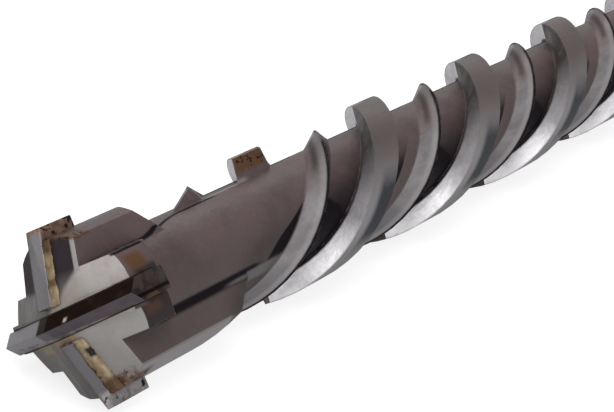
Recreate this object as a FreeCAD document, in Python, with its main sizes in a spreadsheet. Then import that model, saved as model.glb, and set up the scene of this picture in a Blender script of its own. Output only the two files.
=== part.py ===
"""Masonry drill bit for a rotary hammer: a steel bar with carbide cutters brazed into its head.

The bit is built upright in its own working frame. Z is the axis, 0 just behind the outer corners of
the cutters and rising towards the shank. X points to side cutter A and Y to the main cutter's end
B. Seen from the shank the bit turns from Y to X when it drills. Each finished piece is then laid
down: the axis along X, the shank's end at the origin, and side cutter A pointing up and back.
"""
import os

import FreeCAD, Part
import Sketcher

doc = FreeCAD.newDocument("masonry_drill_bit")

# Driving dimensions, in millimetres and degrees
SIZES = (
    ("cutting_diameter", 25.0, "over the carbide cutters"),
    ("point_angle", 140.0, "between the two slopes of the point"),
    ("facet_angle", 45.0, "slope of the ground facets beside each cutting edge"),
    ("rake_angle", 62.0, "slope of the side cutters' leading facets"),
    ("plate_advance", 0.7, "cutters' corners ahead of the head's zero plane"),
    ("main_plate_thickness", 3.25, "main cutter"),
    ("main_plate_turn", 3.0, "main cutter, turned forward from the cross"),
    ("main_plate_rear", 6.4, "rear edge of the main cutter"),
    ("side_plate_edge", 0.6, "side cutter's edge, from the axis plane to the leading side"),
    ("side_plate_leading", 1.2, "side cutter, from its edge to its leading face"),
    ("side_plate_trailing", 1.4, "side cutter, from its edge to its trailing face"),
    ("side_plate_inner", 2.6, "inner end of a side cutter, from the axis"),
    ("side_plate_rear", 6.7, "rear edge of a side cutter"),
    ("braze_gap", 0.15, "braze between a cutter and the walls of its slot"),
    ("front_drop", 1.65, "steel front behind the cutting edges"),
    ("bead_drop", 1.35, "braze beads beside the side cutters, behind the cutting edges"),
    ("bead_width", 1.25, "braze bead beside a side cutter"),
    ("bead_outer", 10.7, "outer end of the beads, from the axis"),
    ("rib_diameter", 21.9, "over the ribs and the steel beside the main cutter"),
    ("rib_root", 1.5, "inner edge of a rib, inside the core"),
    ("rib_leading", 6.5, "rib's leading side from the axis plane"),
    ("rib_trailing", 5.0, "rib's trailing side from the axis plane"),
    ("rib_rear", 16.4, "high end of the two ribs, in the axis plane"),
    ("rib_slope", 50.0, "angle of a rib's run-out from its length"),
    ("rib_slant", 40.0, "slant of a rib's run-out, along with the flutes"),
    ("wing_leading", 6.0, "steel beside the main cutter, leading side"),
    ("wing_trailing", 4.6, "steel beside the main cutter, trailing side"),
    ("wing_rear", 7.1, "rear end of the steel beside the main cutter"),
    ("wing_slope", 50.0, "angle of the wing's rear end from its length"),
    ("gash_ab_start", -4.6, "ground face between cutters A and B, carried on to the axis"),
    ("gash_ab_tilt", 32.0, "tilt of that face from the cross plane"),
    ("gash_ab_turn", 58.0, "way in which that face falls back, from side cutter A"),
    ("gash_bc_start", -4.8, "ground face between cutters B and C, carried on to the axis"),
    ("gash_bc_tilt", 34.0, "tilt of that face from the cross plane"),
    ("gash_bc_turn", 130.0, "way in which that face falls back, from side cutter A"),
    ("core_diameter", 15.2, "floor of the straight and spiral flutes"),
    ("bar_front", 12.0, "front end of the turned bar, inside the head"),
    ("lead", 65.5, "one full turn of a ridge"),
    ("spiral_phase", 173.2, "angle of the thin ridge's peak, run back to the cutters' corners"),
    ("spiral_start", 30.0, "angle at which the ridges begin, before the straight flute cuts them"),
    ("ridge_diameter", 19.4, "over the two thin ridges"),
    ("ridge_front", 8.0, "thin ridge's front flank along the axis"),
    ("ridge_back", 4.0, "thin ridge's back flank along the axis"),
    ("ridge_root", 6.0, "root of the ridges, inside the core, from the axis"),
    ("land_diameter", 21.9, "over the two broad lands"),
    ("land_step", 10.9, "front of a broad land behind the thin ridge's peak"),
    ("land_width", 7.0, "broad land along the axis"),
    ("land_back", 2.0, "broad land's back flank along the axis"),
    ("stub_side", 2.4, "flat side of the ridges' beginnings, from the axis plane"),
    ("stub_cut_rear", 51.0, "rear end of that flat cut"),
    ("flute_rear", 204.0, "rear end of the flutes"),
    ("flute_run_out", 14.0, "length over which the ridges run out"),
    ("neck_diameter", 17.0, "neck behind the flutes"),
    ("shank_front", 232.0, "front end of the shank"),
    ("shank_diameter", 18.0, "shank"),
    ("shank_length", 92.0, "shank"),
    ("shank_chamfer", 1.5, "chamfers of the shank"),
    ("drive_slot_width", 5.0, "open drive slots"),
    ("drive_slot_depth", 2.6, "open drive slots"),
    ("drive_slot_length", 66.0, "open drive slots, from the shank's end"),
    ("lock_groove_width", 6.0, "closed locking grooves"),
    ("lock_groove_depth", 2.4, "closed locking grooves"),
    ("lock_groove_length", 24.0, "closed locking grooves, over their round ends"),
    ("lock_groove_rear", 22.0, "rear end of the locking grooves from the shank's end"),
    ("rest_angle", 41.0, "side cutter A from upright when the bit lies at rest"),
)

sizes = doc.addObject("Spreadsheet::Sheet", "sizes")
for row, (alias, value, meaning) in enumerate(SIZES, start=1):
    sizes.set(f"A{row}", meaning)
    sizes.set(f"B{row}", str(value))
    sizes.setAlias(f"B{row}", alias)
doc.recompute()

# Lengths that follow from the driving ones, written as formulas
RADIUS = "(sizes.cutting_diameter / 2)"
POINT_SLOPE = "(90 - sizes.point_angle / 2)"
POINT_RISE = f"({RADIUS}) * tan({POINT_SLOPE} * 1deg)"
TOTAL = "(sizes.shank_front + sizes.shank_length)"
SPIRAL_Z = "sizes.lead * (sizes.spiral_phase - sizes.spiral_start) / 360"
MARGIN = 4.0          # how far a cutting tool or a limit runs past what it cuts
FRONT = 12.0          # how far ahead of the cutters' corners the tools and blanks begin


def bind(item, **formulas):
    """Ties properties of an object to formulas over the sheet."""
    for name, formula in formulas.items():
        item.setExpression(name, formula)
    return item


def place(item, x="0", y="0", z="0", axis=(0, 0, 1), turn="0"):
    """Ties an object's place and turn to formulas."""
    corner = f"vector({x} ; {y} ; {z})"
    about = f"vector({axis[0]} ; {axis[1]} ; {axis[2]})"
    item.setExpression("Placement", f"placement({corner} ; rotation({about} ; {turn}))")
    return item


def box(name, x, y, z):
    """A block from its low and high formulas on each axis."""
    block = doc.addObject("Part::Box", name)
    bind(block, Length=f"({x[1]}) - ({x[0]})", Width=f"({y[1]}) - ({y[0]})", Height=f"({z[1]}) - ({z[0]})")
    return place(block, x[0], y[0], z[0])


def cylinder(name, radius, low, high, x="0", y="0"):
    """A round bar along the axis."""
    bar = doc.addObject("Part::Cylinder", name)
    bind(bar, Radius=radius, Height=f"({high}) - ({low})")
    return place(bar, x, y, low)


def join(name, *items):
    """Several solids made one."""
    union = doc.addObject("Part::MultiFuse", name)
    union.Shapes = list(items)
    union.Refine = True
    return union


def overlap(name, *items):
    """What several solids share."""
    shared = doc.addObject("Part::MultiCommon", name)
    shared.Shapes = list(items)
    return shared


def cut(name, base, tool):
    """A solid with a tool taken out of it."""
    rest = doc.addObject("Part::Cut", name)
    rest.Base = base
    rest.Tool = tool
    return rest


def turned(name, source, angle, tilt="0"):
    """A copy of an object that is turned about the axis, after a tilt about Y, and follows it."""
    tilted = source
    if tilt != "0":
        tilted = doc.addObject("Part::Compound", f"{name}_tilted")
        tilted.Links = [source]
        place(tilted, axis=(0, 1, 0), turn=tilt)
    copy = doc.addObject("Part::Compound", name)
    copy.Links = [tilted]
    return place(copy, turn=angle)


def outline(body, role, corners):
    """A closed outline of straight lines on one of the body's own planes, each corner tied by formulas."""
    sketch = body.newObject("Sketcher::SketchObject", f"{body.Name}_outline")
    plane = next(item for item in body.Origin.OriginFeatures if item.Role == role)
    sketch.AttachmentSupport = [(plane, "")]
    sketch.MapMode = "FlatFace"
    points = [
        FreeCAD.Vector(float(sketch.evalExpression(across)), float(sketch.evalExpression(up)), 0)
        for across, up in corners
    ]
    last = len(points) - 1
    for index, point in enumerate(points):
        sketch.addGeometry(Part.LineSegment(point, points[(index + 1) % len(points)]), False)
    for index in range(len(points)):
        before = last if index == 0 else index - 1
        sketch.addConstraint(Sketcher.Constraint("Coincident", before, 2, index, 1))
    for index, (across, up) in enumerate(corners):
        for kind, formula, value in (("DistanceX", across, points[index].x), ("DistanceY", up, points[index].y)):
            number = sketch.addConstraint(Sketcher.Constraint(kind, -1, 1, index, 1, value))
            sketch.setExpression(f"Constraints[{number}]", formula)
    return sketch


def padded(name, role, corners, length):
    """A body with an outline padded square to its plane."""
    body = doc.addObject("PartDesign::Body", name)
    sketch = outline(body, role, corners)
    pad = body.newObject("PartDesign::Pad", f"{name}_pad")
    pad.Profile = sketch
    pad.setExpression("Length", length)
    return body


# Steel bar: flute core, neck and shank, turned in one piece
bar = doc.addObject("PartDesign::Body", "bar")
bar_outline = outline(bar, "XZ_Plane", (
    ("0", "sizes.bar_front"),
    ("sizes.core_diameter / 2", "sizes.bar_front"),
    ("sizes.core_diameter / 2", "sizes.flute_rear - sizes.flute_run_out"),
    ("sizes.neck_diameter / 2", "sizes.flute_rear"),
    ("sizes.neck_diameter / 2", "sizes.shank_front"),
    ("sizes.shank_diameter / 2", "sizes.shank_front + sizes.shank_chamfer"),
    ("sizes.shank_diameter / 2", f"{TOTAL} - sizes.shank_chamfer"),
    ("sizes.shank_diameter / 2 - sizes.shank_chamfer", TOTAL),
    ("0", TOTAL),
))
bar_turning = bar.newObject("PartDesign::Revolution", "bar_turning")
bar_turning.Profile = bar_outline
bar_turning.ReferenceAxis = (bar_outline, ["V_Axis"])
bar_turning.Angle = 360
doc.recompute()

# Steel head: core, two long ribs under the side cutters, two short wings beside the main cutter
far_side = f"({RADIUS} + {MARGIN})"
core = cylinder("core", "sizes.core_diameter / 2", f"-{FRONT}", "sizes.bar_front")


def rib(name, leading, trailing, rear, slope, slant, angle):
    """A rib along the head, round outside, with a rear end that runs out on a slope and a slant."""
    round_face = cylinder(f"{name}_round", "sizes.rib_diameter / 2", f"-{FRONT}", f"{rear} + {FRONT}")
    block = box(
        f"{name}_block", ("sizes.rib_root", far_side), (f"-{leading}", trailing), (f"-{FRONT}", f"{rear} + {FRONT}"),
    )
    run_out = doc.addObject("Part::Box", f"{name}_run_out")
    half_width = f"2 * {RADIUS}"
    bind(run_out, Length=RADIUS, Width=f"2 * {half_width}", Height=f"4 * {FRONT} + {RADIUS}")
    corner = (
        f"vector(sizes.rib_diameter / 2 ; -{half_width} * cos({slant} * 1deg) ; "
        f"{rear} + {half_width} * sin({slant} * 1deg))"
    )
    lean = f"rotation(vector(1 ; 0 ; 0) ; -{slant}) * rotation(vector(0 ; 1 ; 0) ; -{slope})"
    run_out.setExpression("Placement", f"placement({corner} ; {lean})")
    return turned(name, cut(f"{name}_shaped", overlap(f"{name}_blank", block, round_face), run_out), angle)


rib_form = ("sizes.rib_leading", "sizes.rib_trailing", "sizes.rib_rear", "sizes.rib_slope", "sizes.rib_slant")
wing_form = ("sizes.wing_leading", "sizes.wing_trailing", "sizes.wing_rear", "sizes.wing_slope", "0")
rib_a = rib("rib_a", *rib_form, "0")
rib_c = rib("rib_c", *rib_form, "180")
wing_b = rib("wing_b", *wing_form, "90")
wing_d = rib("wing_d", *wing_form, "270")
head_blank = join("head_blank", core, rib_a, rib_c, wing_b, wing_d)

def point_front(name, drop):
    """Everything in front of a cone that lies behind the cutting edges by a drop."""
    apex = f"(-{POINT_RISE} - sizes.plate_advance + {drop})"
    rise = f"{far_side} * tan({POINT_SLOPE} * 1deg)"
    cone = doc.addObject("Part::Cone", f"{name}_cone")
    bind(cone, Radius1="0", Radius2=far_side, Height=rise)
    place(cone, z=apex)
    return cut(name, cylinder(f"{name}_round", far_side, f"-{FRONT}", f"{apex} + {rise}"), cone)


# Waste in front of the point's slopes, which are kept behind the cutting edges
point_waste = point_front("point_waste", "sizes.front_drop")

# Ground front faces, one in each quarter between two cutters
edge_leading = f"(sizes.main_plate_thickness / 2 + {RADIUS} * sin(sizes.main_plate_turn * 1deg))"
edge_trailing = "(sizes.main_plate_thickness / 2)"
side_a_face = "(sizes.side_plate_trailing - sizes.side_plate_edge)"
side_c_face = "(sizes.side_plate_leading + sizes.side_plate_edge)"
gash_depth = (f"-2 * {FRONT}", f"2 * {FRONT}")


def gash(name, start, tilt, turn, quarter):
    """What one ground face takes away in its quarter: it falls back from the axis on a tilt."""
    reach = f"2 * {RADIUS}"
    shape = padded(f"{name}_shape", "XZ_Plane", (
        ("0", f"-2 * {FRONT}"),
        (reach, f"-2 * {FRONT}"),
        (reach, f"{start} + {reach} * tan({tilt} * 1deg)"),
        ("0", start),
    ), f"4 * {RADIUS}")
    place(shape, y=reach)
    return overlap(name, turned(f"{name}_floor", shape, turn), quarter)


quarter_ab = box("quarter_ab", (edge_leading, far_side), (side_a_face, far_side), gash_depth)
quarter_bc = box("quarter_bc", (f"-{far_side}", f"-{edge_trailing}"), (side_c_face, far_side), gash_depth)
gash_ab = gash("gash_ab", "sizes.gash_ab_start", "sizes.gash_ab_tilt", "sizes.gash_ab_turn", quarter_ab)
gash_bc = gash("gash_bc", "sizes.gash_bc_start", "sizes.gash_bc_tilt", "sizes.gash_bc_turn", quarter_bc)
grinding = join("grinding", gash_ab, gash_bc)
head_ground = cut("head_ground", head_blank, join("head_waste", point_waste, grinding, turned("grinding_far", grinding, "180")))


def half_plate(name, leading, trailing, rake, shift, inner, rear, angle):
    """A carbide plate from near the axis to the cutting diameter, with a gabled cutting edge."""
    gable = padded(f"{name}_gable", "YZ_Plane", (
        ("0", "0"),
        (trailing, f"({trailing}) * tan(sizes.facet_angle * 1deg)"),
        (trailing, f"2 * {FRONT}"),
        (f"-{leading}", f"2 * {FRONT}"),
        (f"-{leading}", f"({leading}) * tan({rake} * 1deg)"),
    ), f"2 * {RADIUS}")
    place(gable, y=f"-{shift}", z=f"-sizes.plate_advance - {POINT_RISE}", axis=(0, 1, 0), turn=f"-{POINT_SLOPE}")
    limit = box(
        f"{name}_limit", (inner, far_side), (f"-{leading} - {shift}", f"{trailing} - {shift}"), (f"-{FRONT}", rear),
    )
    round_limit = cylinder(f"{name}_round", RADIUS, f"-{FRONT}", rear)
    return turned(name, overlap(f"{name}_upright", gable, limit, round_limit), angle)


def slot(name, leading, trailing, shift, inner, rear, angle):
    """The slot of a plate, wider by the braze on every side."""
    gap = "sizes.braze_gap"
    block = box(
        f"{name}_block", (inner, far_side), (f"-{leading} - {shift} - {gap}", f"{trailing} - {shift} + {gap}"),
        (f"-{FRONT}", f"{rear} + {gap}"),
    )
    return turned(name, block, angle)


# Main cutter: one plate across the whole head, its two halves ground to the point
half_thick = "(sizes.main_plate_thickness / 2)"
main_halves = []
main_slots = []
for end, angle in (("b", "90 - sizes.main_plate_turn"), ("d", "270 - sizes.main_plate_turn")):
    main_halves.append(half_plate(
        f"main_{end}", half_thick, half_thick, "sizes.facet_angle", "0", "0", "sizes.main_plate_rear", angle,
    ))
    main_slots.append(slot(f"main_slot_{end}", half_thick, half_thick, "0", "0", "sizes.main_plate_rear", angle))
main_plate = join("main_plate", *main_halves)
main_slot = join("main_slot", *main_slots)
main_bed = overlap("main_bed", head_ground, main_slot)
pieces = {"main_cutter": main_plate, "main_braze": cut("main_metal", main_bed, main_plate)}

# Side cutters, each in its braze bed with a bead along the side that faces the main cutter's end B
side = ("sizes.side_plate_leading", "sizes.side_plate_trailing")
side_inner = "sizes.side_plate_inner - sizes.braze_gap"
strip_a = ("0", f"{side_a_face} + sizes.bead_width")
strip_c = (f"-{side_c_face} - sizes.bead_width", "0")
bead_front = point_front("bead_front", "sizes.bead_drop")
pockets = [main_slot]
for end, angle, width in (("a", "0", strip_a), ("c", "180", strip_c)):
    plate = half_plate(
        f"side_plate_{end}", *side, "sizes.rake_angle", "sizes.side_plate_edge",
        "sizes.side_plate_inner", "sizes.side_plate_rear", angle,
    )
    side_slot = slot(f"side_slot_{end}", *side, "sizes.side_plate_edge", side_inner, "sizes.side_plate_rear", angle)
    block = box(f"bead_block_{end}", (side_inner, "sizes.bead_outer"), width, (f"-{FRONT}", "sizes.side_plate_rear"))
    strip = overlap(f"side_strip_{end}", head_blank, turned(f"side_strip_place_{end}", block, angle))
    bead = cut(f"side_bead_{end}", strip, join(f"side_bead_waste_{end}", bead_front, head_ground, main_slot))
    bed = overlap(f"side_bed_{end}", head_ground, side_slot)
    pieces[f"side_cutter_{end}"] = plate
    pieces[f"side_braze_{end}"] = cut(f"side_metal_{end}", join(f"side_fill_{end}", bed, bead), plate)
    pockets.append(side_slot)
head = cut("head", head_ground, join("pockets", *pockets))


def ridge(name, corners):
    """A ridge that winds along the bar, left-handed as pictured, from its outline beside the axis."""
    body = doc.addObject("PartDesign::Body", name)
    sketch = outline(body, "XZ_Plane", corners)
    doc.recompute()
    winding = body.newObject("PartDesign::AdditiveHelix", f"{name}_winding")
    winding.Profile = sketch
    winding.ReferenceAxis = (sketch, ["V_Axis"])
    winding.Mode = 0
    winding.LeftHanded = True
    winding.Outside = False
    winding.setExpression("Pitch", "sizes.lead")
    winding.setExpression("Height", f"sizes.flute_rear + {MARGIN} - ({SPIRAL_Z})")
    return place(body, z=SPIRAL_Z, turn="sizes.spiral_start")


thin_ridge = ridge("thin_ridge", (
    ("sizes.ridge_root", "-sizes.ridge_front"),
    ("sizes.ridge_diameter / 2", "0"),
    ("sizes.ridge_root", "sizes.ridge_back"),
))
broad_land = ridge("broad_land", (
    ("sizes.ridge_root", "sizes.land_step"),
    ("sizes.land_diameter / 2", "sizes.land_step"),
    ("sizes.land_diameter / 2", "sizes.land_step + sizes.land_width"),
    ("sizes.ridge_root", "sizes.land_step + sizes.land_width + sizes.land_back"),
))

# A flat cut beside rib A's line takes the beginnings of one thin ridge and one land off
stub_cut = box("stub_cut", ("0", far_side), ("sizes.stub_side", far_side), ("0", "sizes.stub_cut_rear"))
ridge_pair = cut("ridge_pair", join("ridge_blanks", thin_ridge, broad_land), stub_cut)
run_out_front = "sizes.flute_rear - sizes.flute_run_out"
envelope_cone = doc.addObject("Part::Cone", "envelope_cone")
bind(
    envelope_cone, Radius1="sizes.land_diameter / 2", Radius2="sizes.neck_diameter / 2 - sizes.braze_gap",
    Height="sizes.flute_run_out",
)
place(envelope_cone, z=run_out_front)
envelope = join("envelope", cylinder("envelope_round", RADIUS, "0", run_out_front), envelope_cone)
flutes = overlap("flutes", join("ridge_pairs", ridge_pair, turned("ridge_pair_far", ridge_pair, "180")), envelope)


def groove(name, width, depth, low, high, angle):
    """A round-bottomed groove along the shank with round ends."""
    middle = f"sizes.shank_diameter / 2 - {depth} + {width} / 2"
    run = cylinder(f"{name}_run", f"{width} / 2", low, high, x=middle)
    ends = []
    for place_name, height in (("front", low), ("rear", high)):
        ball = doc.addObject("Part::Sphere", f"{name}_{place_name}")
        bind(ball, Radius=f"{width} / 2")
        ends.append(place(ball, x=middle, z=height))
    return turned(name, join(f"{name}_run_and_ends", run, *ends), angle)


# Three open drive slots and two closed locking grooves in the shank
shank_end = TOTAL
grooves = []
for number, angle in enumerate(("0", "145", "215"), start=1):
    grooves.append(groove(
        f"drive_slot_{number}", "sizes.drive_slot_width", "sizes.drive_slot_depth",
        f"{shank_end} - sizes.drive_slot_length", f"{shank_end} + {MARGIN}", angle,
    ))
lock_rear = f"{shank_end} - sizes.lock_groove_rear - sizes.lock_groove_width / 2"
lock_front = f"{shank_end} - sizes.lock_groove_rear - sizes.lock_groove_length + sizes.lock_groove_width / 2"
for number, angle in enumerate(("90", "270"), start=1):
    grooves.append(groove(
        f"lock_groove_{number}", "sizes.lock_groove_width", "sizes.lock_groove_depth", lock_front, lock_rear, angle,
    ))
shank_bar = cut("shank_bar", bar, join("grooves", *grooves))
pieces["drill_body"] = join("steel", head, flutes, shank_bar)

# Lays every piece down: the axis along X with the shank's end at the origin, rib A turned up and back
upright_to_lying = "rotation(vector(1 ; 1 ; 1) ; 120)"
roll = "rotation(vector(1 ; 0 ; 0) ; 90 - sizes.rest_angle)"
finished = []
for name, upright in pieces.items():
    piece = doc.addObject("Part::Compound", name)
    piece.Label = name
    piece.Links = [upright]
    piece.setExpression("Placement", f"placement(vector(-{TOTAL} ; 0 ; 0) ; {roll} * {upright_to_lying})")
    finished.append(piece)
doc.recompute()

faulty = [item.Name for item in doc.Objects if "Invalid" in item.State or "Error" in item.State]
if faulty:
    raise RuntimeError("features that failed: " + ", ".join(faulty))
for piece in finished:
    if piece.Shape.isNull() or not piece.Shape.isValid() or len(piece.Shape.Solids) != 1:
        raise RuntimeError(f"{piece.Label} is not one valid solid")

os.makedirs("parts", exist_ok=True)
for piece in finished:
    piece.Shape.exportStep(f"parts/{piece.Label}.step")
    print(piece.Label, round(piece.Shape.Volume, 1), "mm3")
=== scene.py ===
import logging
import math
from dataclasses import dataclass, field
from enum import Enum
from typing import Union

import bpy
from mathutils import Matrix, Vector


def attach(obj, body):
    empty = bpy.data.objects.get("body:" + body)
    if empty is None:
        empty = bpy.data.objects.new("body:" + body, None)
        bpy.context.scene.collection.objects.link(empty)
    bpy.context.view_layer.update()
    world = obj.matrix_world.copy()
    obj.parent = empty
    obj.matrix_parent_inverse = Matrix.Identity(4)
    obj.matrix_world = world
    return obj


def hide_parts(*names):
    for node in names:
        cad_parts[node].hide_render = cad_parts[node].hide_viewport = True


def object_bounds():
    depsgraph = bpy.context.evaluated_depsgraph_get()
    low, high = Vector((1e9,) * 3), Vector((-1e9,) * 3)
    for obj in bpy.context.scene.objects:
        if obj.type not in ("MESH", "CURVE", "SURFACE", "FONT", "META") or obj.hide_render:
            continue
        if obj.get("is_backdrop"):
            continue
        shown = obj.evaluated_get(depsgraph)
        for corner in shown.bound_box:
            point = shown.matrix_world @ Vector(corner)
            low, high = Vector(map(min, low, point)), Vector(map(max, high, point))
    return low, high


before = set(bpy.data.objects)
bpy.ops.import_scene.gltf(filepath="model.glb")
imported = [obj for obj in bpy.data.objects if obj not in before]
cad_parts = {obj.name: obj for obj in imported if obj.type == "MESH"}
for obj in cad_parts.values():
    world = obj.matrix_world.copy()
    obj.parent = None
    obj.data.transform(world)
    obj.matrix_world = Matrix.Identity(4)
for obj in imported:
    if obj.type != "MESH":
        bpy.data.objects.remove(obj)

logging.basicConfig(level=logging.INFO, format="%(name)s: %(message)s")
LOG = logging.getLogger("masonry_drill_bit")

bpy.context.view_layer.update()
Colour = tuple[float, float, float]
Place = tuple[float, float, float]
Socket = bpy.types.NodeSocket

MILLIMETRES = 1000.0            # in a metre
FULL_TURN = 360.0
HALF_TURN = 180.0
QUARTER_TURN = 90.0

# Sizes of the bit that the finishes follow, in millimetres and degrees
HEAD_X = -324.0                 # the head's zero plane, along the axis
REST_ANGLE = 41.0               # side cutter A from upright
LEAD = 65.5                     # one full turn of a ridge
SPIRAL_PHASE = 173.2            # angle of the thin ridge's peak, run back to the zero plane
FIRST_ANGLE = 10.0              # each half turn is counted from here
RIDGE_FRONT = 8.0               # the thin ridge's front flank along the axis
LAND_STEP = 10.9                # front of a broad land behind the thin ridge's peak
LAND_RADIUS = 10.95
MAIN_TURN = 3.0                 # main cutter, turned forward from the cross

BLACK = (0.004, 0.003, 0.005)
GREY = (0.165, 0.152, 0.158)
# dark purple for two patches on the ground faces at side cutter A
DARK_PURPLE = (0.018, 0.011, 0.016)
# grey for stains on the ground faces, and for painted shade on them
GROUND_STAIN_AND_SHADE = (0.23, 0.21, 0.20)
PIT_BROWN = (0.012, 0.008, 0.008)


class Lamp(Enum):
    """What each lamp of the studio does."""

    KEY = "key"
    FILL = "fill"
    RIM = "rim"


class Slot(Enum):
    """The material slot names that the worked copies hold."""

    CARBIDE = "carbide"
    BRAZE = "braze"


@dataclass(frozen=True)
class SoftBox:
    """A square lamp, aimed at a point of the bit."""

    use: Lamp
    place: Place
    size: float
    watts: float
    aim: Place = (-0.27, 0.0, 0.0)

    def make(self) -> bpy.types.Object:
        """Adds the lamp to the scene.

        Returns:
            The lamp's object.
        """
        data = bpy.data.lights.new(f"lamp_{self.use.value}", "AREA")
        data.shape = "SQUARE"
        data.size = self.size
        data.energy = self.watts
        lamp = bpy.data.objects.new(data.name, data)
        bpy.context.collection.objects.link(lamp)
        lamp.location = self.place
        towards = Vector(self.aim) - Vector(self.place)
        lamp.rotation_euler = towards.to_track_quat("-Z", "Y").to_euler()
        return lamp


@dataclass(frozen=True)
class Viewpoint:
    """The camera, found from the photograph's perspective."""

    place: Place = (-0.50489, -0.12825, 0.12964)
    pitch: float = -25.807
    yaw: float = 28.475
    roll: float = 12.503
    lens: float = 116.2
    sensor: float = 36.0
    nearest: float = 0.01

    def make(self) -> bpy.types.Object:
        """Adds the camera and makes it the scene's own.

        Returns:
            The camera's object.
        """
        data = bpy.data.cameras.new("camera")
        data.lens = self.lens
        data.sensor_width = self.sensor
        data.clip_start = self.nearest
        camera = bpy.data.objects.new("camera", data)
        bpy.context.collection.objects.link(camera)
        pitch, yaw, roll = (math.radians(angle) for angle in (self.pitch, self.yaw, self.roll))
        level = math.cos(pitch)
        forward = Vector((level * math.cos(yaw), level * math.sin(yaw), math.sin(pitch)))
        level_right = forward.cross(Vector((0.0, 0.0, 1.0))).normalized()
        level_up = level_right.cross(forward)
        up = level_up * math.cos(roll) - level_right * math.sin(roll)
        right = forward.cross(up)
        turn = Matrix((right, up, -forward)).transposed().to_4x4()
        camera.matrix_world = Matrix.Translation(self.place) @ turn
        bpy.context.scene.camera = camera
        return camera


@dataclass(frozen=True)
class Step:
    """A smooth step of a mask from least at off to 1 at full. It falls where off is the greater."""

    off: float
    full: float
    least: float = 0.0


@dataclass(frozen=True)
class Band:
    """A mask that is 1 between low and high, with edges of a given softness."""

    low: float
    high: float
    soft: float

    def steps(self) -> tuple[Step, Step]:
        """The band's rising and falling step."""
        rise = Step(self.low - self.soft, self.low + self.soft)
        return rise, Step(self.high + self.soft, self.high - self.soft)


@dataclass(frozen=True)
class Noise:
    """A cloudy noise. Its scale is per metre, and stretch scales it along and across the axis."""

    scale: float
    detail: float = 4.0
    roughness: float = 0.55
    stretch: tuple[float, float] | None = None


# The noises, which masks name as they name a coordinate
NOISES = {
    "cloud": Noise(120.0, 5.0, 0.65),
    "grain": Noise(1300.0, 3.0, 0.7),
    "pale": Noise(75.0, 2.0),
    "streak": Noise(60.0, 4.0, 0.6, (1.0, 9.0)),
    "stain": Noise(420.0, 4.0, 0.6),
    "rusty": Noise(260.0, 4.0, 0.65),
    "spots": Noise(1500.0, 3.0),
    "wear": Noise(700.0),
    "ground": Noise(500.0, 4.0, 0.6),
    "speckle": Noise(420.0, 5.0, 0.7),
    "pits": Noise(700.0, 2.0),
    "waver": Noise(150.0),
    "coarse": Noise(320.0),
    "grind": Noise(250.0, 2.0, 0.5, (14.0, 2.0)),
    "floor": Noise(3.0),
}


@dataclass(frozen=True)
class Bump:
    """How far a height roughens the surface, in metres, and with what strength."""

    strength: float
    distance: float


def scaled(colour: Colour, factor: float) -> Colour:
    """Multiplies a colour.

    Args:
        colour: The colour.
        factor: What each channel is multiplied by.

    Returns:
        The new colour.
    """
    return tuple(factor * channel for channel in colour)


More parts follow.
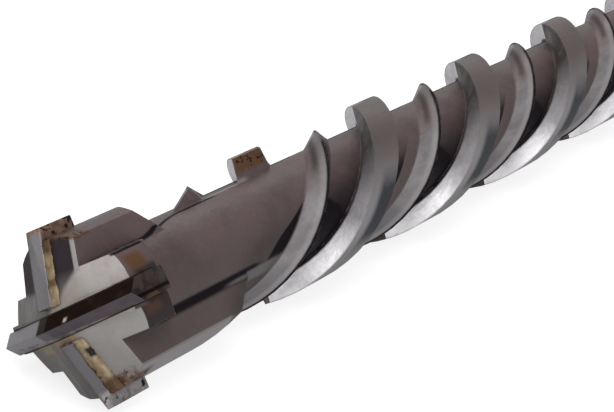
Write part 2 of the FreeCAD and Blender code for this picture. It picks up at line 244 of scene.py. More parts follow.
class NodeSheet:
    """A material's node tree with short calls that add and join nodes."""

    edge_radius = 0.00022           # every edge is rounded this far
    wear_radius = 0.00035           # and worn this far
    edge_samples = 4
    clean = Step(0.01, 0.09)        # lightness from which a place shines
    sooty_specular = 0.04
    clean_specular = 0.5

    def __init__(self, name: str) -> None:
        """Starts an empty material with one shader.

        Args:
            name: The material's name.
        """
        self.material = bpy.data.materials.new(name)
        self.material.use_nodes = True
        self.tree = self.material.node_tree
        self.tree.nodes.clear()
        self.shader = self.node("ShaderNodeBsdfPrincipled")
        output = self.node("ShaderNodeOutputMaterial")
        self.tree.links.new(self.shader.outputs["BSDF"], output.inputs["Surface"])
        self.place = self.node("ShaderNodeTexCoord").outputs["Object"]
        self.known: dict[str, Socket] = {}

    def node(self, kind: str, **settings: object) -> bpy.types.Node:
        """Adds a node.

        Args:
            kind: The node's type.
            settings: Its properties.

        Returns:
            The node.
        """
        added = self.tree.nodes.new(kind)
        for name, value in settings.items():
            setattr(added, name, value)
        return added

    def feed(self, socket: Socket, value: object) -> None:
        """Gives a socket its value.

        Args:
            socket: The socket.
            value: A number, a colour or another node's output.
        """
        if isinstance(value, bpy.types.NodeSocket):
            self.tree.links.new(value, socket)
        elif isinstance(value, tuple) and len(value) == 3 and socket.type == "RGBA":
            socket.default_value = (*value, 1.0)
        else:
            socket.default_value = value

    def math(self, operation: str, *values: object) -> Socket:
        """Adds one sum.

        Args:
            operation: Blender's name for it.
            values: Numbers or outputs.

        Returns:
            The result.
        """
        added = self.node("ShaderNodeMath", operation=operation)
        for socket, value in zip(added.inputs, values):
            self.feed(socket, value)
        return added.outputs[0]

    def plus(self, first: object, second: object) -> Socket:
        """Adds two values."""
        return self.math("ADD", first, second)

    def minus(self, first: object, second: object) -> Socket:
        """Takes the second value from the first."""
        return self.math("SUBTRACT", first, second)

    def folded(self, operation: str, *values: object) -> Socket:
        """Puts one operation between all values.

        Args:
            operation: Blender's name for it.
            values: Numbers or outputs.

        Returns:
            The result.
        """
        total = values[0]
        for value in values[1:]:
            total = self.math(operation, total, value)
        return total

    def times(self, *values: object) -> Socket:
        """Multiplies any number of values."""
        return self.folded("MULTIPLY", *values)

    def step(self, value: object, span: Step) -> Socket:
        """Puts a smooth step over a value.

        Args:
            value: The value.
            span: Where the step lies.

        Returns:
            The mask.
        """
        added = self.node("ShaderNodeMapRange", interpolation_type="SMOOTHSTEP")
        rises = span.off < span.full
        self.feed(added.inputs["Value"], value)
        added.inputs["From Min"].default_value = min(span.off, span.full)
        added.inputs["From Max"].default_value = max(span.off, span.full)
        added.inputs["To Min"].default_value = span.least if rises else 1.0
        added.inputs["To Max"].default_value = 1.0 if rises else span.least
        return added.outputs["Result"]

    def mix(self, share: object, first: object, second: object) -> Socket:
        """Blends two colours."""
        return self.blended("RGBA", share, first, second)

    def blend(self, share: object, first: object, second: object) -> Socket:
        """Blends two numbers."""
        return self.blended("FLOAT", share, first, second)

    def blended(self, kind: str, share: object, first: object, second: object) -> Socket:
        """Adds a mix node.

        Args:
            kind: The type of what it mixes.
            share: How much of the second there is.
            first: The first value.
            second: The second value.

        Returns:
            The mixture.
        """
        added = self.node("ShaderNodeMix", data_type=kind)
        self.feed(added.inputs["Factor"], share)
        self.feed(added.inputs["A"], first)
        self.feed(added.inputs["B"], second)
        return added.outputs["Result"]

    def named(self, name: str) -> Socket:
        """Finds a coordinate or a noise by its name, and adds a noise when it is first asked for.

        Args:
            name: The name.

        Returns:
            Its output.
        """
        if name not in self.known:
            self.known[name] = self.noise(NOISES[name])
        return self.known[name]

    def noise(self, kind: Noise) -> Socket:
        """Adds a noise on the object's coordinates.

        Args:
            kind: The noise's measures.

        Returns:
            Its output.
        """
        place = self.place
        if kind.stretch:
            along, across = kind.stretch
            mapping = self.node("ShaderNodeMapping")
            self.feed(mapping.inputs["Vector"], place)
            mapping.inputs["Scale"].default_value = (along, across, across)
            place = mapping.outputs["Vector"]
        added = self.node("ShaderNodeTexNoise")
        self.feed(added.inputs["Vector"], place)
        added.inputs["Scale"].default_value = kind.scale
        added.inputs["Detail"].default_value = kind.detail
        added.inputs["Roughness"].default_value = kind.roughness
        return added.outputs["Fac"]

    def finish_metal(self, colour: Socket, metallic: float, roughness: object) -> None:
        """Connects the colour, and lets only the lighter places shine.

        Args:
            colour: The surface's colour.
            metallic: How metallic the lighter places are.
            roughness: The roughness of the whole surface.
        """
        lightness = self.node("ShaderNodeRGBToBW")
        self.feed(lightness.inputs[0], colour)
        clean = self.step(lightness.outputs[0], self.clean)
        specular = self.blend(clean, self.sooty_specular, self.clean_specular)
        self.feed(self.shader.inputs["Base Color"], colour)
        self.feed(self.shader.inputs["Metallic"], self.times(clean, metallic))
        self.feed(self.shader.inputs["Specular IOR Level"], specular)
        self.feed(self.shader.inputs["Roughness"], roughness)

    def bump(self, height: Socket, kind: Bump) -> None:
        """Roughens the surface and rounds its edges.

        Args:
            height: The height.
            kind: How far it counts.
        """
        added = self.node("ShaderNodeBump")
        self.feed(added.inputs["Height"], height)
        added.inputs["Strength"].default_value = kind.strength
        added.inputs["Distance"].default_value = kind.distance
        self.feed(added.inputs["Normal"], self.rounded(self.edge_radius))
        self.feed(self.shader.inputs["Normal"], added.outputs["Normal"])

    def rounded(self, radius: float) -> Socket:
        """Adds a normal that rounds every edge.

        Args:
            radius: The radius in metres.

        Returns:
            The normal.
        """
        added = self.node("ShaderNodeBevel", samples=self.edge_samples)
        added.inputs["Radius"].default_value = radius
        return added.outputs["Normal"]

    def flatness(self) -> Socket:
        """Measures how near the rounded normal is to the flat one.

        Returns:
            1 on a flat face and less at its edges.
        """
        dot = self.node("ShaderNodeVectorMath", operation="DOT_PRODUCT")
        self.feed(dot.inputs[0], self.rounded(self.wear_radius))
        self.feed(dot.inputs[1], self.node("ShaderNodeNewGeometry").outputs["Normal"])
        return dot.outputs["Value"]


class BitSheet(NodeSheet):
    """A material whose masks name the bit's own coordinates, in millimetres and degrees.

    s runs along the axis from the head's zero plane, a points towards side cutter A, b towards the
    main cutter's near end, and r is the distance from the axis. half_turn is the angle round the axis,
    which repeats after half a turn as the flutes do, and turn is the same with a wavering edge. behind
    is the distance behind a thin ridge's peak, and first the distance behind the first ridge's. facing
    is 1 on what looks out of the head. foot is the angle behind the painted shade line at rib A's foot,
    wedge the distance behind the edge of the wedge's painted black shade, hollow the distance beyond
    the painted black shade behind a ridge, and lower and tint are distances to two lines across the
    ground faces.
    """

    waver_angle = 22.0
    foot_angle = 24.0               # the painted shade line at rib A's foot, behind the rib
    foot_rise = 17.5                # and how much more it is beside the rib
    foot_bend = Step(24.0, 12.5)
    wedge_length = 4.8
    wedge_growth = 3.6
    wedge_grows = Step(80.0, 112.0)
    hollow_least = 0.75             # length of the painted black shade at the bit's top
    hollow_growth = 12.4
    hollow_soft = 0.7
    hollow_softer = 2.4
    hollow_grows = Step(74.0, 124.0)
    lower_line = (-0.6, -0.8, -2.0)
    tint_line = (-0.73, 0.69, -0.95)

    def __init__(self, name: str) -> None:
        """Works the coordinates out once for a material.

        Args:
            name: The material's name.
        """
        super().__init__(name)
        parts = self.node("ShaderNodeSeparateXYZ")
        self.feed(parts.inputs[0], self.place)
        x, y, z = (self.times(output, MILLIMETRES) for output in parts.outputs)
        lean = math.radians(QUARTER_TURN - REST_ANGLE)
        s = self.minus(x, HEAD_X)
        a = self.plus(self.times(y, math.cos(lean)), self.times(z, math.sin(lean)))
        b = self.minus(self.times(z, math.cos(lean)), self.times(y, math.sin(lean)))
        r = self.math("SQRT", self.plus(self.times(a, a), self.times(b, b)))
        angle = self.times(self.math("ARCTAN2", b, a), HALF_TURN / math.pi)
        half_turn = self.math("WRAP", angle, FIRST_ANGLE + HALF_TURN, FIRST_ANGLE)
        self.known.update({"s": s, "a": a, "b": b, "r": r, "half_turn": half_turn})
        per_degree = LEAD / FULL_TURN
        phase = self.plus(self.times(s, 1.0 / per_degree), angle)
        wound = self.times(self.minus(phase, SPIRAL_PHASE), per_degree)
        self.known["behind"] = self.math("WRAP", wound, LEAD / 2.0 - RIDGE_FRONT, -RIDGE_FRONT)
        first_peak = self.times(self.minus(SPIRAL_PHASE + HALF_TURN, half_turn), per_degree)
        self.known["first"] = self.minus(s, first_peak)
        normal = self.node("ShaderNodeSeparateXYZ")
        self.feed(normal.inputs[0], self.node("ShaderNodeTexCoord").outputs["Normal"])
        self.known["facing"] = self.times(normal.outputs[0], -1.0)

    def add_steel(self) -> None:
        """Works out the coordinates that only the steel's masks name."""
        s, half_turn, behind = (self.known[name] for name in ("s", "half_turn", "behind"))
        sway = self.times(self.minus(self.named("waver"), 0.5), self.waver_angle)
        turn = self.plus(half_turn, sway)
        rise = self.times(self.step(s, self.foot_bend), self.foot_rise)
        growth = self.times(self.step(half_turn, self.wedge_grows), self.wedge_growth)
        spread = self.step(turn, self.hollow_grows)
        reach = self.plus(self.hollow_least, self.times(spread, self.hollow_growth))
        soft = self.plus(self.hollow_soft, self.times(spread, self.hollow_softer))
        self.known["turn"] = turn
        self.known["foot"] = self.minus(half_turn, self.plus(rise, self.foot_angle))
        self.known["wedge"] = self.plus(self.known["first"], self.plus(growth, self.wedge_length))
        self.known["hollow"] = self.math("DIVIDE", self.minus(behind, reach), soft)
        self.known["lower"] = self.line(*self.lower_line)
        self.known["tint"] = self.line(*self.tint_line)
        self.known["flatness"] = self.flatness()

    def line(self, across_a: float, across_b: float, offset: float) -> Socket:
        """Distance to one side of a straight line in the cross plane.

        Args:
            across_a: Share of a in the direction across the line.
            across_b: Share of b in it.
            offset: The line's own distance from the axis.

        Returns:
            The distance.
        """
        a, b = self.known["a"], self.known["b"]
        total = self.plus(self.times(a, across_a), self.times(b, across_b))
        return self.minus(total, offset)


class Stack:
    """A colour with patches laid on it, each over those before."""

    def __init__(self, base: Colour, *patches: "Patch") -> None:
        """Keeps the colours.

        Args:
            base: The lowest colour.
            patches: What lies on it.
        """
        self.base = base
        self.patches = patches

    def lay(self, sheet: NodeSheet) -> Socket:
        """Mixes the colours.

        Args:
            sheet: The material's nodes.

        Returns:
            The mixed colour.
        """
        colour = self.base
        for patch in self.patches:
            upper = patch.colour
            if isinstance(upper, Stack):
                upper = upper.lay(sheet)
            colour = sheet.mix(patch.mask(sheet), colour, upper)
        return colour


class Patch:
    """A patch of colour, bounded by steps and bands along coordinates and noises."""

    def __init__(self, colour: Union[Colour, Stack], share: float = 1.0, parts: tuple["Patch", ...] = (),
                 **bounds: Union[Step, Band, tuple[Step, ...]]) -> None:
        """Keeps what the patch is.

        Args:
            colour: Its colour.
            share: How much it covers.
            parts: Patches whose greatest mask bounds this one. Their own colours count for nothing.
            bounds: What bounds it, under the coordinates' and noises' names.
        """
        self.colour = colour
        self.share = share
        self.parts = parts
        self.bounds = bounds

    def mask(self, sheet: NodeSheet) -> Socket:
        """Multiplies the bounds, the parts and the share.

        Args:
            sheet: The material's nodes.

        Returns:
            The mask.
        """
        factors = []
        for name, span in self.bounds.items():
            steps = span.steps() if isinstance(span, Band) else span
            for step in steps if isinstance(steps, tuple) else (steps,):
                factors.append(sheet.step(sheet.named(name), step))
        if self.parts:
            factors.append(sheet.folded("MAXIMUM", *(part.mask(sheet) for part in self.parts)))
        if self.share != 1.0:
            factors.append(self.share)
        return sheet.times(*factors)


# Bounds that several patches of the steel share
FLOOR = Step(8.65, 8.35)            # radius below which the core lies
SIDE_A = Step(-0.6, 0.6)
RIM = Step(10.4, 10.8)
SPIRAL = {"first": Step(-7.95, -7.7), "s": (Step(27.0, 29.0), Step(206.0, 196.0))}
BESIDE = {"r": RIM, "b": Step(6.5, 7.4)}
WING = {"b": Step(7.0, 7.8), "facing": Step(0.62, 0.5)}
WING_SIDE = Step(-1.5, -1.9)
WING_REAR = Step(8.6, 7.4)
# Bounds of the painted black shade in the hollow behind the thin ridges
HOLLOW = {"hollow": Step(1.0, -1.0), "turn": Step(26.0, 40.0)}
HOLLOW_FRONT = Step(-0.75, -0.35)


@dataclass(frozen=True)
class SteelFinish:
    """Rolled and blackened steel: brown oxide, worn flanks with painted light, painted black shade in the
    flute corners, ground fronts.
    """

    oxide: Colour = (0.108, 0.070, 0.070)
    dark_oxide: Colour = (0.070, 0.046, 0.047)
    # the oxide in painted shade, for the bar's lower side
    shaded_oxide: Colour = (0.070, 0.054, 0.052)
    soot: Colour = (0.022, 0.017, 0.02)
    rust: Colour = (0.088, 0.038, 0.015)
    metallic: float = 0.35
    smooth: float = 0.38
    rough: float = 0.5
    gloss: Step = Step(0.3, 0.7)
    skin: Bump = Bump(0.3, 0.00025)

    def bar(self) -> list[Patch]:
        """The bar's brown oxide, with painted shade that makes it darker and greyer low on its sides, and a
        fine pale grain.
        """
        return [
            Patch(self.dark_oxide, cloud=Step(0.35, 0.68)),
            Patch(self.dark_oxide, 0.3, grain=Step(0.35, 0.7)),
            # painted shade on the bar's lower side
            Patch(self.shaded_oxide, 0.6, half_turn=Step(70.0, 105.0)),
            Patch(GREY, 0.3, pale=Step(0.55, 0.75), grain=Step(0.52, 0.62)),
        ]

    def lines(self) -> list[Patch]:
        """The dark lines at the ribs' feet and the marks between the ribs and the first ridge.

        Returns:
            The painted light of a ledge, the painted shade lines at the feet of ribs A and C, painted light
            on a facet where rib C runs out, and the painted black shade of a wedge with softer painted
            shade round it.
        """
        # painted black shade in a wedge at the first ridge's foot, with softer painted shade round it
        wedge = Patch(BLACK, 0.97, wedge=Step(-0.5, 0.6), first=Step(-4.2, -4.6),
                      half_turn=Band(82.0, 124.0, 4.0))
        dusk = Patch(BLACK, 0.35, first=Band(-16.0, -4.6, 3.5), half_turn=Step(78.0, 108.0))
        return [
            # painted light: a lighter grey ledge above the line at rib A's foot
            Patch((0.25, 0.235, 0.235), 0.8, r=FLOOR, foot=Band(-6.5, -2.6, 0.8),
                  s=Band(31.5, 41.5, 1.0)),
            # painted shade: black lines in the creases at the feet of ribs A and C
            Patch(BLACK, 0.96, r=FLOOR, foot=Band(-2.2, 1.6, 1.0), s=(Step(1.0, 2.5), Step(34.0, 31.0))),
            Patch(BLACK, 0.96, r=FLOOR, half_turn=Band(119.5, 128.0, 2.0),
                  s=(Step(6.5, 8.5), Step(33.0, 30.0))),
            # painted light on a facet where rib C runs out
            Patch((0.20, 0.185, 0.19), 0.75, half_turn=Band(125.0, 138.0, 2.0),
                  first=Band(-17.0, -5.5, 2.5), r=Step(8.3, 8.0)),
            # the wedge's painted shade
            Patch(BLACK, parts=(wedge, dusk)),
        ]

    def ridges(self) -> list[Patch]:
        """The thin ridges' worn front flanks brightened with painted light, and painted black shade in the
        hollow behind them.

        Returns:
            The flank with its wear streaks and painted light, the painted shade on its top, the painted
            highlight on the crest and the painted black shade in the hollow.
        """
        # the flank: grey wear streaks, brightened with painted light and darkened low on the bit with
        # painted shade
        wear_and_painted_light = Stack(GREY, Patch(scaled(GREY, 1.45), streak=Step(0.3, 0.7)),
                     Patch((0.11, 0.105, 0.115), 0.6, turn=Step(112.0, 145.0)))
        # painted black shade in the hollow behind each thin ridge
        inner = Patch(BLACK, 0.97, behind=HOLLOW_FRONT, r=Step(8.5, 8.0), **HOLLOW)
        near = Patch(BLACK, 0.97, behind=(HOLLOW_FRONT, Step(6.0, 5.0)), **HOLLOW)
        dusk = Patch(BLACK, 0.88, r=Step(8.0, 7.8), behind=Band(0.0, 10.9, 0.5), turn=Step(48.0, 112.0))
        return [
            Patch(wear_and_painted_light, r=Step(7.65, 7.85), behind=Band(-RIDGE_FRONT + 0.3, -0.3, 0.25),
                  turn=Step(55.0, 92.0, 0.05), **SPIRAL),
            # painted shade on the flank's top
            Patch((0.032, 0.019, 0.018), 0.75, r=Step(7.9, 8.4), behind=Band(-RIDGE_FRONT, -2.0, 0.5),
                  turn=Step(78.0, 52.0), **SPIRAL),
            # painted highlight along the crest
            Patch((0.33, 0.31, 0.31), 0.5, behind=Band(-1.9, -0.5, 0.4), r=Step(8.6, 9.2),
                  turn=Step(60.0, 90.0, 0.5), **SPIRAL),
            # the hollow's painted black shade
            Patch(BLACK, parts=(inner, near, dusk), **SPIRAL),
        ]

    def lands(self) -> list[Patch]:
        """The broad lands' worn front walls brightened with painted light, their tops, and painted black
        shade on the floor behind them.

        Returns:
            The wall, the painted black shade on the floor and on the land's underside, and the top, which
            is brown above, grey below as painted light, and blue black towards the rear, with a painted
            grey highlight along the lower outline.
        """
        # the wall: painted light, dark at the top and near white lower down, with grey wear streaks
        wear_and_painted_light = Stack((0.042, 0.030, 0.029), Patch((0.40, 0.38, 0.40), turn=Step(62.0, 112.0)),
                     Patch((0.78, 0.76, 0.79), turn=Step(112.0, 142.0)),
                     Patch(GREY, 0.3, streak=Step(0.42, 0.75)))
        # painted black shade on the floor behind the land and under it
        floor = Patch(BLACK, behind=Band(17.7, 28.35, 0.7), r=Step(9.4, 8.4), turn=Step(64.0, 98.0))
        under = Patch(BLACK, behind=Band(17.7, 20.6, 0.4), turn=Step(108.0, 128.0))
        # the top: brown oxide, grey lower down as painted light, blue black towards the rear, and a painted
        # grey highlight along the lower outline
        top = Stack((0.092, 0.070, 0.066), Patch((0.22, 0.21, 0.22), turn=Step(60.0, 118.0)),
                    Patch((0.020, 0.023, 0.029), 0.95, turn=Step(84.0, 108.0), behind=Step(12.6, 14.6)),
                    Patch((0.17, 0.165, 0.17), 0.8, half_turn=(Step(132.0, 145.0), Step(175.0, 160.0))))
        return [
            Patch(wear_and_painted_light, behind=Band(LAND_STEP - 0.6, LAND_STEP + 0.2, 0.1), r=Step(7.9, 8.3), **SPIRAL),
            # the painted black shade on the floor and under the land
            Patch(BLACK, 0.95, parts=(floor, under), **SPIRAL),
            Patch(top, r=Step(LAND_RADIUS - 0.25, LAND_RADIUS - 0.1), behind=Band(LAND_STEP, 18.0, 0.2),
                  **SPIRAL),
        ]

    def head(self) -> list[Patch]:
        """The bright ground faces between the cutters, with their stains, their painted shade and
        highlight, and dark purple patches.

        Returns:
            The ground faces, and rib C's worn outside.
        """
        far = Stack((0.15, 0.135, 0.135), Patch((0.11, 0.098, 0.098), stain=Step(0.35, 0.65)))
        # a dark purple patch on one side of side cutter A, bounded by the tint line
        tint = Patch(DARK_PURPLE, 0.97, tint=Step(0.35, -0.55), a=(SIDE_A, Step(3.0, 6.5, 0.6)),
                     b=Step(0.6, 1.2))
        # a bare metal edge, lightened further with a painted highlight
        strip = Patch((0.36, 0.335, 0.335), b=Band(4.45, 5.1, 0.12), a=Step(5.2, 5.8))
        # a dark purple patch on the other side of side cutter A
        back = Patch(DARK_PURPLE, 0.97, b=Band(-7.6, -1.6, 0.5), a=Step(3.9, 5.2))
        gold = Patch((0.26, 0.175, 0.095), 0.85, a=Band(-3.3, -1.5, 0.25), b=Band(-6.5, 2.3, 0.5),
                     stain=Step(0.38, 0.55))
        ground = Stack((0.34, 0.325, 0.31), Patch((0.50, 0.465, 0.45), a=SIDE_A),
                       # stains on the ground faces
                       Patch(GROUND_STAIN_AND_SHADE, 0.3, stain=Step(0.4, 0.7)),
                       # painted shade: cream grey towards the inner corner of the ground face on side A
                       Patch((0.25, 0.225, 0.185), 0.7, r=Step(8.8, 4.2), a=SIDE_A),
                       # painted shade on the ground face where a is below zero, beyond the lower line
                       Patch(GROUND_STAIN_AND_SHADE, 0.6, lower=Step(-2.0, 2.5), a=Step(0.0, -1.0)),
                       Patch(far, b=Step(0.5, -0.5)), tint, strip, back, gold)
        return [
            Patch(ground, facing=Step(0.5, 0.62), s=Step(6.4, 5.8)),
            Patch((0.23, 0.21, 0.215), a=Step(-6.2, -6.8), s=Step(22.5, 21.5),
                  r=Step(LAND_RADIUS - 0.25, LAND_RADIUS - 0.12), b=(Step(7.0, 6.2), Step(-2.0, 3.0))),
        ]

    def marks(self) -> list[Patch]:
        """Soot and rust beside the cutters and on the stub, and worn edges everywhere.

        Returns:
            The soot, the painted shade line between wing B and rib A, the rust with its spots, and the
            edges.
        """
        sooty = Patch(self.soot, s=Band(3.0, 8.0, 1.0), a=Step(3.6, 2.6), **BESIDE)
        wing = Patch(self.soot, a=WING_SIDE, s=WING_REAR, **WING)
        boss = Patch(self.rust, a=Band(2.9, 5.1, 0.5), s=Band(2.9, 6.4, 0.9), **BESIDE)
        fleck = Patch(self.rust, 0.6, a=(WING_SIDE, Step(-3.6, -2.2)),
                      s=(WING_REAR, *Band(2.0, 5.5, 1.0).steps()), **WING)
        stub = Patch(self.rust, s=Band(37.0, 47.0, 0.4), b=Band(2.2, 2.6, 0.1), a=Step(8.0, 8.8))
        leg = Patch(self.rust, r=Step(9.0, 9.7), a=Step(-8.0, -8.8), b=Band(2.4, 5.4, 0.5),
                    s=Step(6.0, 4.5))
        end = Patch(self.rust, 0.9, r=RIM, a=Step(9.0, 9.6), b=Step(-1.0, 0.5), s=Step(4.6, 3.6))
        return [
            Patch(self.soot, 0.85, parts=(sooty, wing)),
            # painted shade: a black line between wing B and rib A
            Patch(BLACK, 0.95, a=Band(5.65, 6.6, 0.1), s=Band(1.2, 8.0, 0.4), **BESIDE),
            Patch(self.rust, parts=(boss, fleck, stub, leg, end), rusty=Step(0.34, 0.5)),
            Patch(BLACK, 0.85, parts=(stub, end, leg), spots=Step(0.54, 0.62)),
            Patch((0.22, 0.2, 0.2), 0.3, flatness=Step(0.985, 0.80), wear=Step(0.4, 0.62)),
        ]

    def make(self) -> bpy.types.Material:
        """Builds the material.

        Returns:
            The material.
        """
        sheet = BitSheet("rolled_steel")
        sheet.add_steel()
        coats = (self.bar, self.lines, self.ridges, self.lands, self.head, self.marks)
        patches = [patch for coat in coats for patch in coat()]
        gloss = sheet.step(sheet.named("cloud"), self.gloss)
        roughness = sheet.blend(gloss, self.rough, self.smooth)
        sheet.finish_metal(Stack(self.oxide, *patches).lay(sheet), self.metallic, roughness)
        sheet.bump(sheet.plus(sheet.named("grain"), sheet.named("coarse")), self.skin)
        return sheet.material


@dataclass(frozen=True)
class CarbideFinish:
    """Ground carbide whose facets differ in shade as the light and the wear leave them."""

    name: str
    pale: Colour
    dark: Colour
    end: Colour
    outwards: float = 1.0           # what a is multiplied by to find the outer end
    side: float = 1.0               # 1 on side A, -1 on side C
    edge_offset: float = 0.6        # the cutting edge, to the leading side
    speckle_gain: float = 2.2
    metallic: float = 0.3
    roughness: float = 0.42
    skin: Bump = Bump(0.2, 0.0001)

    def make(self) -> bpy.types.Material:
        """Builds the material.

        Returns:
            The material.
        """
        sheet = BitSheet(self.name)
        lean = math.radians(MAIN_TURN)
        sheet.known["outwards"] = sheet.times(sheet.known["a"], self.outwards)
        sheet.known["over_edge"] = sheet.line(0.0, self.side, self.edge_offset)
        sheet.known["across"] = sheet.line(math.cos(lean), -math.sin(lean), 0.0)
        facets = self.facets()
        colour = Stack(facets.base, *facets.patches, self.rough_end()).lay(sheet)
        sheet.finish_metal(colour, self.metallic, self.roughness)
        sheet.bump(sheet.plus(sheet.named("grind"), sheet.named("ground")), self.skin)
        return sheet.material

    def clouded(self, colour: Colour, loss: float, share: float) -> Stack:
        """A colour that clouds over in places.

        Args:
            colour: The colour.
            loss: What is left of it inside the clouds.
            share: How strong the clouds are.

        Returns:
            The clouded colour.
        """
        return Stack(colour, Patch(scaled(colour, loss), share, ground=Step(0.4, 0.7)))

    def rough_end(self) -> Patch:
        """The speckled outer end and the wall beside it.

        Returns:
            The patch.
        """
        rough = Stack(self.end, Patch(scaled(self.end, self.speckle_gain), speckle=Step(0.42, 0.58)),
                      Patch(PIT_BROWN, pits=Step(0.58, 0.64)))
        end = Patch(self.end, outwards=Step(11.9, 12.05))
        wall = Patch(self.end, outwards=Step(9.9, 10.4), b=Step(0.6, 0.75))
        return Patch(rough, parts=(end, wall))

    def facets(self) -> Stack:
        """A side cutter's leading facet, with the trailing one over it."""
        return Stack(self.dark, Patch(self.clouded(self.pale, 0.65, 0.35), over_edge=Step(-0.06, 0.06)))


@dataclass(frozen=True)
class MainCarbideFinish(CarbideFinish):
    """The main cutter: darkened with painted shade on its near leading facet, pale at its far end, sooty at
    its near.
    """

    far: Colour = (0.2, 0.19, 0.205)
    black_gain: float = 2.4

    def facets(self) -> Stack:
        """The halves of the facets in their own shades, the near leading facet darkened with painted shade,
        a chip, and the soot on the near end.

        Returns:
            The far half, with the near half, the chip and the soot over it.
        """
        # painted shade on the near leading facet, flecked lighter by the ground noise
        black = Stack(self.dark, Patch(scaled(self.dark, self.black_gain), ground=Step(0.5, 0.7)))
        pale = self.clouded(self.pale, 0.55, 0.4)
        near = Stack(pale.base, *pale.patches, Patch(black, across=Step(-0.06, 0.06)))
        soot = Stack((0.06, 0.03, 0.017), Patch((0.038, 0.028, 0.027), a=Step(-0.5, -0.15)),
                     Patch((0.018, 0.013, 0.013), ground=Step(0.45, 0.65)),
                     Patch((0.004, 0.002, 0.002), a=Band(-0.45, 0.05, 0.12)))
        far = self.clouded(self.far, 0.7, 0.35)
        return Stack(far.base, *far.patches, Patch(near, b=Step(-3.0, -2.3)),
                     Patch((0.55, 0.5, 0.42), 0.9, a=Band(0.35, 0.75, 0.15), b=Band(2.6, 3.1, 0.15)),
                     Patch(soot, r=Step(12.38, 12.46), b=Step(0.0, 1.0)))


@dataclass(frozen=True)
class BrazeFinish:
    """Brass braze, gold where it is clean and brown where it has burnt."""

    gold: Colour = (0.31, 0.225, 0.125)
    cream: Colour = (0.40, 0.32, 0.21)
    burnt: Colour = (0.085, 0.038, 0.014)
    metallic: float = 0.45
    roughness: float = 0.5
    skin: Bump = Bump(0.8, 0.0007)

    def make(self) -> bpy.types.Material:
        """Builds the material.

        Returns:
            The material.
        """
        sheet = BitSheet("braze")
        outer = Patch(self.burnt, 0.9, r=Step(8.6, 9.6))
        spot = Patch(self.burnt, 0.8, a=Band(4.9, 5.9, 0.3))
        blotches = Patch(self.burnt, speckle=Step(0.42, 0.34))
        dash = Patch(PIT_BROWN, 0.95, a=Band(-5.2, -3.9, 0.2), b=Step(2.3, 2.7))
        bed = Patch((0.022, 0.012, 0.008), 0.9, a=(Step(-2.4, -2.2), Step(2.6, 2.3)))
        braze = Stack(self.gold, Patch(self.cream, speckle=Step(0.42, 0.62)),
                      Patch(self.burnt, parts=(outer, spot, blotches)), dash, bed)
        sheet.finish_metal(braze.lay(sheet), self.metallic, self.roughness)
        sheet.bump(sheet.named("speckle"), self.skin)
        return sheet.material


@dataclass
class Studio:
    """White floor and backdrop, and the lamps."""

    floor_size: float = 6.0
    floor_light: Colour = (0.39, 0.39, 0.39)
    floor_dark: Colour = (0.36, 0.36, 0.36)
    floor_roughness: float = 0.9
    floor_glow: float = 0.3
    floor_glow_seen: float = 0.8
    sky: float = 0.55
    sky_seen: float = 1.0
    white: tuple[float, float, float, float] = (1.0, 1.0, 1.0, 1.0)
    boxes: tuple[SoftBox, ...] = field(default_factory=lambda: (
        SoftBox(Lamp.KEY, (-0.55, -0.1, 0.75), 0.5, 2.6),
        SoftBox(Lamp.FILL, (-0.5, -0.8, 0.25), 0.6, 2.2),
        SoftBox(Lamp.RIM, (0.2, 0.5, 0.6), 0.5, 1.6),
    ))

    def floor(self) -> None:
        """Adds the floor under the bit. It glows white to the camera, and still takes a soft shadow."""
        bpy.ops.object.select_all(action="DESELECT")
        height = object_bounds()[0].z
        bpy.ops.mesh.primitive_plane_add(size=self.floor_size, location=(0.0, 0.0, height))
        plane = bpy.context.object
        bpy.ops.object.transform_apply(location=True, rotation=False, scale=False)
        plane.name = "floor"
        sheet = NodeSheet("floor_white")
        shade = sheet.mix(sheet.named("floor"), self.floor_dark, self.floor_light)
        seen = sheet.node("ShaderNodeLightPath").outputs["Is Camera Ray"]
        glow = sheet.blend(seen, self.floor_glow, self.floor_glow_seen)
        sheet.feed(sheet.shader.inputs["Base Color"], shade)
        sheet.feed(sheet.shader.inputs["Emission Strength"], glow)
        sheet.shader.inputs["Emission Color"].default_value = self.white
        sheet.shader.inputs["Specular IOR Level"].default_value = 0.0
        sheet.shader.inputs["Roughness"].default_value = self.floor_roughness
        plane.data.materials.append(sheet.material)
        plane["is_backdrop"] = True

    def world(self) -> None:
        """Sets a world that is white to the camera and dimmer as a light."""
        world = bpy.data.worlds.new("studio")
        world.use_nodes = True
        nodes = world.node_tree.nodes
        seen = nodes.new("ShaderNodeLightPath").outputs["Is Camera Ray"]
        strength = nodes.new("ShaderNodeMapRange")
        strength.inputs["To Min"].default_value = self.sky
        strength.inputs["To Max"].default_value = self.sky_seen
        background = nodes["Background"]
        background.inputs["Color"].default_value = self.white
        world.node_tree.links.new(seen, strength.inputs["Value"])
        world.node_tree.links.new(strength.outputs["Result"], background.inputs["Strength"])
        bpy.context.scene.world = world

    def make(self) -> None:
        """Builds floor, world and lamps."""
        self.floor()
        self.world()
        for box in self.boxes:
            box.make()


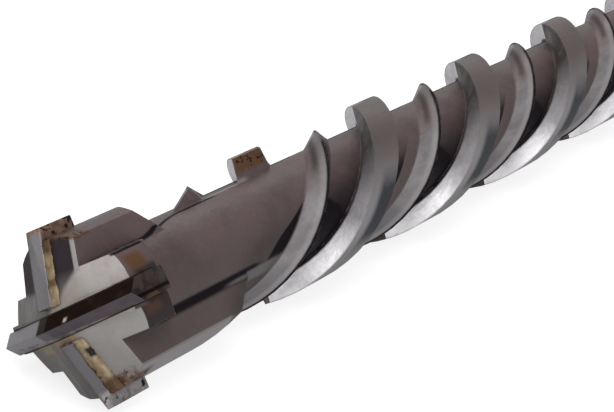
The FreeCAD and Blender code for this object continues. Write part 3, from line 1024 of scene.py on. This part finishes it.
@dataclass
class FinishedCopy:
    """A copy of a CAD node with its doubles merged, which is worked on and shown in the node's place."""

    node: str
    slot: Slot
    material: bpy.types.Material
    merge: float = 1e-6             # corners closer than this are one, in metres
    flat: float = 1.0               # faces closer than this angle are one, in degrees
    piece: bpy.types.Object = field(init=False)

    def start(self) -> None:
        """Copies the node's mesh and merges its doubles."""
        bpy.ops.object.select_all(action="DESELECT")
        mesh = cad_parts[self.node].data.copy()
        self.piece = bpy.data.objects.new(f"{self.node}_finished", mesh)
        bpy.context.collection.objects.link(self.piece)
        bpy.context.view_layer.objects.active = self.piece
        self.piece.select_set(True)
        bpy.ops.object.mode_set(mode="EDIT")
        bpy.ops.mesh.select_all(action="SELECT")
        bpy.ops.mesh.remove_doubles(threshold=self.merge)
        bpy.ops.mesh.dissolve_limited(angle_limit=math.radians(self.flat))
        bpy.ops.object.mode_set(mode="OBJECT")
        self.piece.data.materials.clear()
        self.piece.data.materials.append(self.material)

    def apply(self, kind: str, **settings: object) -> None:
        """Adds a modifier to the piece and applies it.

        Args:
            kind: The modifier's type.
            settings: Its properties.
        """
        modifier = self.piece.modifiers.new(kind.lower(), kind)
        for name, value in settings.items():
            setattr(modifier, name, value)
        bpy.ops.object.modifier_apply(modifier=modifier.name)

    def shape(self) -> None:
        """Works on the copy."""

    def make(self) -> None:
        """Makes the copy, works on it and puts it in the node's place."""
        self.start()
        self.shape()
        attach(self.piece, "root")
        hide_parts(self.node)
        LOG.info("%s has %d faces", self.piece.name, len(self.piece.data.polygons))


@dataclass
class GroundCutter(FinishedCopy):
    """A cutter whose edges have lost their sharpness."""

    edge: float = 0.0001
    rounds: int = 2
    corner: float = 20.0
    smooth: float = 30.0

    def shape(self) -> None:
        """Rounds every edge by a tenth of a millimetre."""
        corner = math.radians(self.corner)
        self.apply("BEVEL", width=self.edge, segments=self.rounds, limit_method="ANGLE", angle_limit=corner)
        bpy.ops.object.shade_smooth_by_angle(angle=math.radians(self.smooth))


@dataclass
class BrazeBead(FinishedCopy):
    """A bead of braze, lumpy as it ran and set."""

    cell: float = 0.00016
    softening: float = 0.6
    soft_rounds: int = 4
    lump_size: float = 0.0013
    lump_depth: int = 2
    lump_height: float = 0.0005
    lump_middle: float = 0.45

    def shape(self) -> None:
        """Rounds the bead off and gives it lumps."""
        lumps = bpy.data.textures.new("lumps", "CLOUDS")
        lumps.noise_scale = self.lump_size
        lumps.noise_depth = self.lump_depth
        self.apply("REMESH", mode="VOXEL", voxel_size=self.cell)
        self.apply("SMOOTH", factor=self.softening, iterations=self.soft_rounds)
        self.apply("DISPLACE", texture=lumps, strength=self.lump_height, mid_level=self.lump_middle,
                   texture_coords="LOCAL")
        bpy.ops.object.shade_smooth()


@dataclass
class Head:
    """The worked copies of the cutters and the braze beads."""

    braze: bpy.types.Material
    # The main cutter's own outwards factor lays the rough end's colour where a is below about -1.3 mm
    main: CarbideFinish = MainCarbideFinish(
        "main_carbide", (0.075, 0.06, 0.07), (0.010, 0.005, 0.003), (0.1, 0.09, 0.09), outwards=-9.0)
    side_a: CarbideFinish = CarbideFinish(
        "carbide_a", (0.25, 0.215, 0.235), (0.12, 0.115, 0.12), (0.085, 0.045, 0.03))
    side_c: CarbideFinish = CarbideFinish(
        "carbide_c", (0.21, 0.2, 0.21), (0.085, 0.078, 0.088), (0.115, 0.105, 0.105), -1.0, -1.0)

    def make(self) -> None:
        """Builds the three cutters and the two beads."""
        finishes = {"main_cutter": self.main, "side_cutter_a": self.side_a, "side_cutter_c": self.side_c}
        for node, finish in finishes.items():
            GroundCutter(node, Slot.CARBIDE, finish.make()).make()
        for node in ("side_braze_a", "side_braze_c"):
            BrazeBead(node, Slot.BRAZE, self.braze).make()


@dataclass
class Bar:
    """The steel bar and the main cutter's braze, which keep their own meshes."""

    steel: bpy.types.Material
    braze: bpy.types.Material

    def make(self) -> None:
        """Gives the two nodes their finishes."""
        for name, material in (("drill_body", self.steel), ("main_braze", self.braze)):
            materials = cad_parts[name].data.materials
            materials.clear()
            materials.append(material)
            LOG.info("%s is finished in %s", name, material.name)


def main() -> None:
    """Builds the camera, the studio and the finished bit in order."""
    bpy.context.scene.view_settings.view_transform = "Standard"
    Viewpoint().make()
    Studio().make()
    braze = BrazeFinish().make()
    Bar(SteelFinish().make(), braze).make()
    Head(braze).make()
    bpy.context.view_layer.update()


if __name__ == "__main__":
    main()
